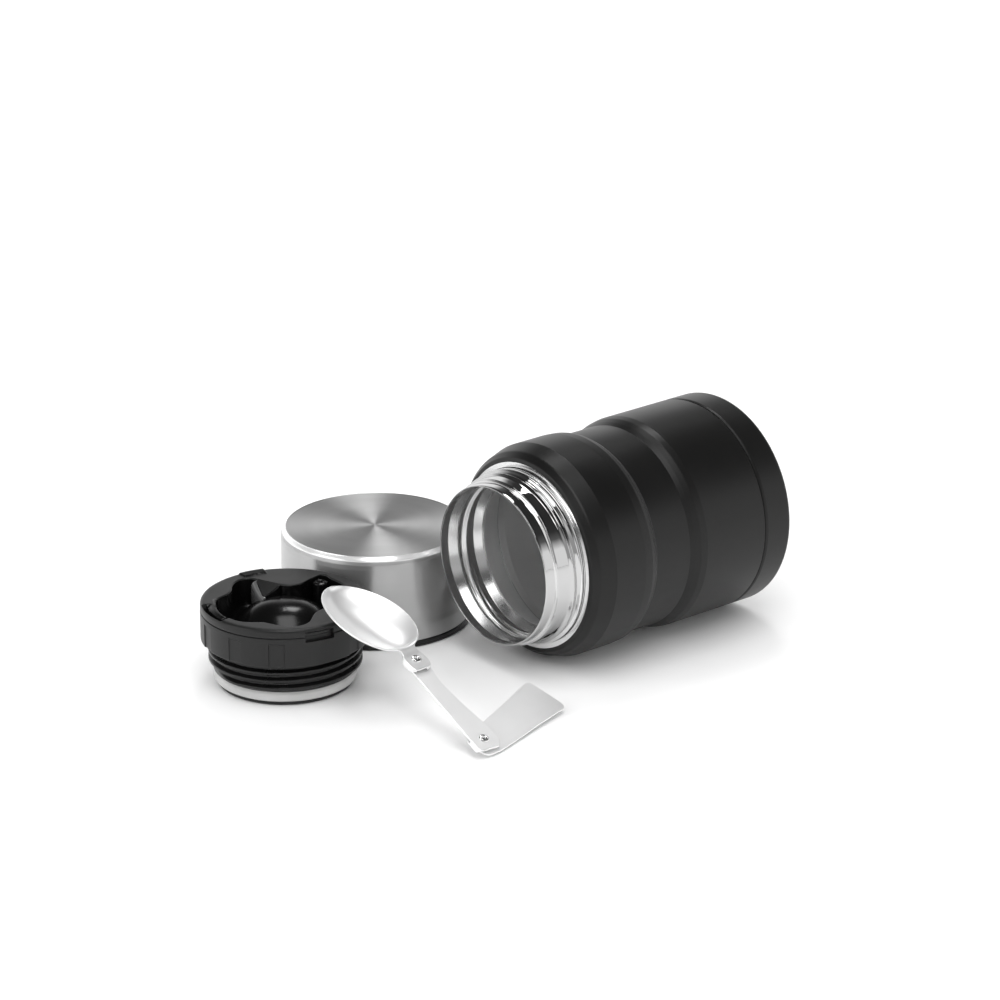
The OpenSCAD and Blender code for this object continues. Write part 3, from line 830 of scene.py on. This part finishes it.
    # boss with a pin in the small bay
    bm = bmesh.new()
    revolve(bm, rounded([(0, 24.6), (3.5, 24.6), (3.3, 35.9, 0.5), (2.0, 36.3, 0.3), (1.9, 35.9, 0.2), (1.1, 35.9, 0.2), (1.0, 36.9, 0.35), (0, 37.0)], 5), 64)
    place = STOPPER @ at_mm((14.5, 22.6, 0))
    finish_mesh("stopper_pin_boss", bm, place, [M_GLOSS], "stopper", sharp=40)


def stopper_seal():
    bm = bmesh.new()
    revolve(bm, rounded([(26.65, 2.06), (30.3, 2.06, 0.5), (30.95, 2.9, 0.7), (30.95, 5.4, 0.9), (30.4, 6.68, 0.5), (26.65, 6.68)], 6), 240, closed=True)
    finish_mesh("stopper_silicone_ring", bm, STOPPER, [M_SILICONE], "stopper", ("stopper_gasket",), sharp=45)
    bm = bmesh.new()
    revolve(bm, rounded([(0, 0.4), (24.0, 0.4, 0.3), (25.0, 0.0, 0.3), (28.9, 0.0, 0.5), (29.6, 0.7, 0.5), (29.6, 1.97, 0.1), (0, 1.97)], 5), 240)
    finish_mesh("stopper_bottom_plate", bm, STOPPER, [M_PP_IN], "stopper", ("stopper_base_plate",), sharp=45)


stopper_body()
stopper_ring()
stopper_tray()
stopper_seal()

# ---------------------------------------------------------------- spoon

BOWL_L, BOWL_W, BOWL_D = 47.0, 17.2, 5.8


def bowl_point(u, v):
    """Top of the bowl in the tang's frame. u in degrees from neck to tip, v from -1 to 1."""
    k, s = cos(radians(u)), sin(radians(u))
    x = (1 - k) / 2 * BOWL_L
    y = v * BOWL_W * s * (1 + 0.09 * k)
    z = -k * k - BOWL_D * s * (1 - v * v)
    c4, s4 = cos(radians(4.6)), sin(radians(4.6))
    return np.array([5.9 + x * c4 + z * s4, y, 2.85 - x * s4 + z * c4])


def pchip(x, xs, ys):
    """Monotone cubic through (xs, ys)."""
    xs, ys = np.array(xs, float), np.array(ys, float)
    h = np.diff(xs)
    d = np.diff(ys) / h
    m = np.zeros(len(xs))
    for i in range(1, len(xs) - 1):
        if d[i - 1] * d[i] > 0:
            w1, w2 = 2 * h[i] + h[i - 1], h[i] + 2 * h[i - 1]
            m[i] = (w1 + w2) / (w1 / d[i - 1] + w2 / d[i])
    m[0], m[-1] = d[0], d[-1]
    i = int(np.clip(np.searchsorted(xs, x) - 1, 0, len(h) - 1))
    t = (x - xs[i]) / h[i]
    return (ys[i] * (1 + 2 * t) * (1 - t) ** 2 + m[i] * h[i] * t * (1 - t) ** 2 + ys[i + 1] * t * t * (3 - 2 * t) + m[i + 1] * h[i] * t * t * (t - 1))


def lip_strip(bm, path, radius, depth, t=0.6, inset=0.5):
    """A sheet lip that turns down from an edge path of (x, y) points and ends depth below the top."""
    p = np.array(path, float)
    tg = np.gradient(p, axis=0)
    tg /= np.linalg.norm(tg, axis=1, keepdims=True)
    out = np.stack([tg[:, 1], -tg[:, 0]], 1)
    if np.sum(out * (p - np.array([0.0, 0.0]))) < 0:
        out = -out
    rows = []
    n = len(p)
    for i in range(n):
        ends = min(i, n - 1 - i) / max(1, n - 1)
        d = depth * (0.45 + 0.55 * float(smooth(ends / 0.22)))
        row = [(p[i] - out[i] * inset, 0.0)]
        for a in (0, 12, 24, 36, 48, 60, 72, 84):
            row.append((p[i] + out[i] * (radius * sin(radians(a)) - 0.1), -radius * (1 - cos(radians(a)))))
        for f in (0.5, 1.0):
            row.append((p[i] + out[i] * (radius - 0.1), min(-radius * 0.93, -radius * 0.9 - (d - radius) * f)))
        rows.append([[q[0], q[1], z - 0.01] for q, z in row])
    sheet_from_grid(bm, rows, t, 0.12)


def spoon_bowl():
    # half widths of neck and tang: x, left (+y), right (-y)
    left = ([-5.45, -5.3, -4.9, -4.2, -3.2, -2.0, 0.0, 1.6, 2.8, 4.0, 5.0, 6.0, 7.0, 8.0, 9.0], [3.2, 4.0, 4.7, 5.1, 5.35, 5.4, 5.35, 5.1, 4.6, 4.0, 3.75, 4.1, 5.4, 7.4, 9.3])
    right = ([-5.45, -5.3, -4.9, -4.2, -3.2, -2.0, 0.0, 1.6, 2.8, 4.0, 5.0, 6.0, 7.0, 8.0, 9.0], [2.4, 3.0, 3.8, 4.5, 5.0, 5.25, 5.4, 5.4, 5.2, 4.8, 4.5, 4.6, 5.7, 7.5, 9.3])
    stations = []
    nv = 29
    vs = np.sin(np.linspace(-90, 90, nv) * pi / 180) * 0.35 + np.linspace(-1, 1, nv) * 0.65
    for x in list(np.linspace(-5.45, 2.0, 16)) + list(np.linspace(2.5, 8.6, 16)):
        hl, hr = pchip(x, *left), pchip(x, *right)
        zc = 2.2 * smooth((x - 2.2) / 6.6)
        dish = 2.6 * smooth((x - 5.6) / 4.6)
        row = []
        for v in vs:
            y = v * (hl if v > 0 else hr)
            row.append([x, y, float(zc - dish * (1 - v * v))])
        stations.append(row)
    for u in list(np.linspace(31, 60, 12)) + list(np.linspace(64, 150, 24)) + list(np.linspace(153, 178.6, 14)):
        stations.append([list(bowl_point(u, v)) for v in vs])
    top = np.array(stations)
    # join the neck's rows with the bowl's into one grid
    bm = bmesh.new()
    sheet_from_grid(bm, top, 0.8)
    finish_mesh("spoon_bowl_and_tang", bm, TANG, [M_BOWL], "spoon", ("spoon_bowl",), sharp=60)
    bm = bmesh.new()
    lip_strip(bm, [(x, pchip(x, *left)) for x in np.linspace(2.7, -5.0, 18)], 0.95, 2.1)
    finish_mesh("spoon_tang_side_lip", bm, TANG, [M_BOWL], "spoon", sharp=40)
    bm = bmesh.new()
    lip_strip(bm, [(-5.5, -0.9), (-5.5, -1.5), (-5.45, -2.1), (-5.3, -2.8), (-5.0, -3.4), (-4.6, -3.9), (-4.1, -4.3), (-3.6, -4.6)], 0.7, 1.7)
    finish_mesh("spoon_tang_corner_lip", bm, TANG, [M_BOWL], "spoon", sharp=40)


def plate(bm, outline, t, hole_at, hole_r, flange=None, inner=1.3, lift=0.0):
    """A flat sheet with a rounded edge and a hole; flange(x, y) gives (length, angle) of the bent edge there."""
    p = np.array(outline, float)
    if np.sum(p[:, 0] * np.roll(p[:, 1], -1) - np.roll(p[:, 0], -1) * p[:, 1]) < 0:
        p = p[::-1]
    n = len(p)
    tg = np.roll(p, -1, 0) - np.roll(p, 1, 0)
    tg /= np.linalg.norm(tg, axis=1, keepdims=True)
    out = np.stack([tg[:, 1], -tg[:, 0]], 1)
    m = 12
    tops, lows = [], []
    for i in range(n):
        length, angle = flange(p[i, 0], p[i, 1]) if flange else (0.0, 0.0)
        total = inner + length
        k = 60
        sig = np.linspace(0, total, k + 1)
        a = radians(angle) * smooth((sig - (inner - 0.35)) / 1.15)
        ox = np.concatenate([[0], np.cumsum(np.cos((a[1:] + a[:-1]) / 2) * total / k)])
        dz = np.concatenate([[0], np.cumsum(np.sin((a[1:] + a[:-1]) / 2) * total / k)])
        pick = np.linspace(0, k, m + 1).astype(int)
        base = p[i] - out[i] * inner
        rt, rl = [], []
        for q in pick:
            nx, nz = sin(a[q]), cos(a[q])
            pos = base + out[i] * ox[q]
            rt.append((pos[0], pos[1], -dz[q]))
            rl.append((pos[0] - out[i][0] * nx * t, pos[1] - out[i][1] * nx * t, -dz[q] - nz * t))
        # rounded end
        e = 0.2
        cx, cz = cos(a[-1]), -sin(a[-1])
        nx, nz = sin(a[-1]), cos(a[-1])
        x0, y0, z0 = rt[-1]
        caps = []
        for f, o in ((0.1, 0.6), (0.3, 1.0), (0.7, 1.0), (0.9, 0.6)):
            caps.append((x0 + out[i][0] * (cx * e * o - nx * t * f), y0 + out[i][1] * (cx * e * o - nx * t * f), z0 + cz * e * o - nz * t * f))
        tops.append(rt + caps)
        lows.append(rl[::-1])
    rows = [[tops[i][q] for i in range(n)] for q in range(len(tops[0]))] + [[lows[i][q] for i in range(n)] for q in range(len(lows[0]))]
    rings = [[bm.verts.new((x * MM, y * MM, z * MM)) for x, y, z in row] for row in rows]
    for a, b in zip(rings, rings[1:]):
        for i in range(n):
            w = (i + 1) % n
            bm.faces.new([a[i], a[w], b[w], b[i]])
    loops = []
    for z in (0.0, -t):
        ring = []
        for cx0, cy0 in hole_at:
            ring.append([bm.verts.new(((cx0 + hole_r * cos(q * pi / 16)) * MM, (cy0 + hole_r * sin(q * pi / 16)) * MM, z * MM)) for q in range(32)])
        loops.append(ring)
    for outer_ring, holes in ((rings[0], loops[0]), (rings[-1], loops[1])):
        edges = []
        for loop in [outer_ring] + holes:
            for i in range(len(loop)):
                v, w = loop[i], loop[(i + 1) % len(loop)]
                e = bm.edges.get((v, w)) or bm.edges.new((v, w))
                edges.append(e)
        bmesh.ops.triangle_fill(bm, use_beauty=True, use_dissolve=False, edges=edges)
    for up, down in zip(loops[0], loops[1]):
        for i in range(32):
            w = (i + 1) % 32
            bm.faces.new([up[i], up[w], down[w], down[i]])


def spoon_arm():
    outline = round_outline([
        (-5.9, 0.6, 4.6), (-4.6, -3.9, 4.0), (3.0, -4.0, 6.0), (9.8, -4.2, 20), (26.5, -5.0, 30), (42.2, -5.8, 30), (52.0, -6.2, 6.0),
        (54.75, -5.4, 1.6), (54.7, 4.4, 2.2), (51.5, 7.0, 2.6), (43.0, 7.0, 12), (28.5, 5.1, 30), (17.3, 4.1, 20), (11.1, 4.4, 12),
        (4.6, 5.6, 6.0), (-4.4, 5.2, 4.4),
    ])

    def flange(x, y):
        if y > -1.0:
            return 0.0, 0.0
        w = float(smooth((x - 6) / 3.0) * smooth((-1.2 - y) / 1.6))
        # a bent-down edge along the left side
        return w * 0.4, w * 30

    bm = bmesh.new()
    plate(bm, outline, 1.0, [(0.0, 0.0), (49.2, 0.0)], 1.34, flange)
    finish_mesh("spoon_middle_link", bm, ARM, [M_ARM], "arm", ("spoon_arm",), sharp=40)
    bm = bmesh.new()
    lip_strip(bm, [(x, -6.1 + 0.35 * float(smooth((x - 52.5) / 3.0))) for x in np.linspace(48.6, 54.6, 15)], 0.9, 2.15)
    finish_mesh("spoon_link_end_lip", bm, ARM, [M_ARM], "arm", sharp=40)


def spoon_handle():
    outline = round_outline([
        (-5.2, -0.4, 5.2), (-4.65, -6.05, 5.0), (3.8, -7.8, 14), (18.1, -8.6, 30), (34.0, -9.3, 30), (53.6, -10.8, 2.6),
        (53.6, -2.0, 20), (53.3, 9.3, 2.6), (31.5, 8.0, 30), (12.0, 7.2, 20), (2.0, 6.5, 8), (-4.8, 5.2, 4.8),
    ])

    def flange(x, y):
        w = float(smooth((x - 4) / 4.0) * smooth((-2.0 - y) / 3.0) * (1 - smooth((x - 51.0) / 1.5)))
        return 0.1 * w, 26 * w

    bm = bmesh.new()
    plate(bm, outline, 0.9, [(0.0, 0.0)], 1.34, flange)
    finish_mesh("spoon_handle_plate", bm, PLATE, [M_PLATE], "handle", ("spoon_handle",), sharp=40)


def rivet(name, place, body, node, reach):
    head = rounded([
        (0, 0.12), (0.55, 0.12, 0.15), (0.85, 0.55, 0.3), (1.35, 0.95, 0.45), (1.95, 0.8, 0.5), (2.32, 0.3, 0.3), (2.3, 0.02, 0.05),
        (1.28, 0.02), (1.28, -reach + 0.75), (2.0, -reach + 0.75, 0.2), (2.1, -reach + 0.3, 0.25), (1.5, -reach, 0.3), (0, -reach),
    ], 6)
    bm = bmesh.new()
    revolve(bm, head, 64)
    finish_mesh(name, bm, place, [M_RIVET], body, (node,), sharp=50)


spoon_bowl()
spoon_arm()
spoon_handle()
rivet("spoon_rivet_bowl", TANG, "spoon", "bowl_rivet", 4.2)
rivet("spoon_rivet_handle", ARM @ at_mm((49.2, 0, 0)), "arm", "handle_rivet", 4.1)

# ---------------------------------------------------------------- floor and light

floor_me = bpy.data.meshes.new("floor")
floor_me.from_pydata([(-6, -6, -0.00005), (6, -6, -0.00005), (6, 6, -0.00005), (-6, 6, -0.00005)], [], [(0, 1, 2, 3)])
floor_ob = bpy.data.objects.new("floor", floor_me)
scene.collection.objects.link(floor_ob)
m, nt, b = new_material("pale_floor")
nf = noise(nt, coords(nt), 30, 2)
nt.links.new(tint(nt, nf, (0.90, 0.90, 0.90), (0.92, 0.92, 0.92)), b.inputs["Base Color"])
b.inputs["Roughness"].default_value = 0.7
b.inputs["Specular IOR Level"].default_value = 0.2
floor_me.materials.append(m)

world = bpy.data.worlds.new("studio")
scene.world = world
world.use_nodes = True
wt = world.node_tree
bg = wt.nodes["Background"]
tc = wt.nodes.new("ShaderNodeTexCoord")
sep = wt.nodes.new("ShaderNodeSeparateXYZ")
wt.links.new(tc.outputs["Generated"], sep.inputs[0])
ramp = wt.nodes.new("ShaderNodeValToRGB")
wt.links.new(sep.outputs["Z"], ramp.inputs["Fac"])
cr = ramp.color_ramp
cr.elements[0].position = 0.0
cr.elements[0].color = (0.9, 0.9, 0.9, 1)
cr.elements[1].position = 1.0
cr.elements[1].color = (0.05, 0.05, 0.05, 1)
for pos, val in ((0.33, 0.90), (0.42, 0.48), (0.50, 0.12), (0.62, 0.04), (0.80, 0.03)):
    e = cr.elements.new(pos)
    e.color = (val, val, val, 1)
side = wt.nodes.new("ShaderNodeVectorMath")
side.operation = "DOT_PRODUCT"
side.inputs[1].default_value = (-0.64, -0.77, 0.0)
wt.links.new(tc.outputs["Generated"], side.inputs[0])
back = wt.nodes.new("ShaderNodeMapRange")
back.inputs["From Min"].default_value = 0.75
back.inputs["From Max"].default_value = 0.88
back.inputs["To Min"].default_value = 1.0
back.inputs["To Max"].default_value = 0.42
wt.links.new(side.outputs["Value"], back.inputs["Value"])
both = wt.nodes.new("ShaderNodeMix")
both.data_type = "RGBA"
both.blend_type = "MULTIPLY"
both.inputs["Factor"].default_value = 1.0
wt.links.new(ramp.outputs["Color"], both.inputs[6])
wt.links.new(back.outputs["Result"], both.inputs[7])
bg.inputs["Strength"].default_value = 1.25
wt.links.new(both.outputs[2], bg.inputs["Color"])


def area(name, azimuth, height, distance, size, size_y, radiance):
    """A softbox that looks at the object from an azimuth and an elevation; size_y is its side in the vertical plane."""
    d = bpy.data.lights.new(name, "AREA")
    d.shape = "RECTANGLE"
    d.size, d.size_y = size, size_y
    d.energy = radiance * pi * size * size_y
    o = bpy.data.objects.new(name, d)
    scene.collection.objects.link(o)
    az, el = radians(azimuth), radians(height)
    away = Vector((cos(az) * cos(el), sin(az) * cos(el), sin(el)))
    across = Vector((-sin(az), cos(az), 0))
    up = away.cross(across)
    o.matrix_world = Matrix.Translation(away * distance) @ Matrix((across, up, away)).transposed().to_4x4()
    o.visible_camera = False
    return o


def sun(name, toward, angle, energy):
    d = bpy.data.lights.new(name, "SUN")
    d.energy = energy
    d.angle = radians(angle)
    o = bpy.data.objects.new(name, d)
    scene.collection.objects.link(o)
    o.rotation_euler = (-Vector(toward)).to_track_quat("-Z", "Y").to_euler()
    o.visible_glossy = False
    return o


area("softbox", 238, 69, 3.0, 1.4, 2.9, 3.3)
area("back_box", 42, 59, 3.0, 0.75, 0.85, 7.0)
area("side_box", 165, 34, 2.6, 1.6, 1.0, 2.4)
sun("dome", (0.0, 0.0, 1.0), 150, 1.9)
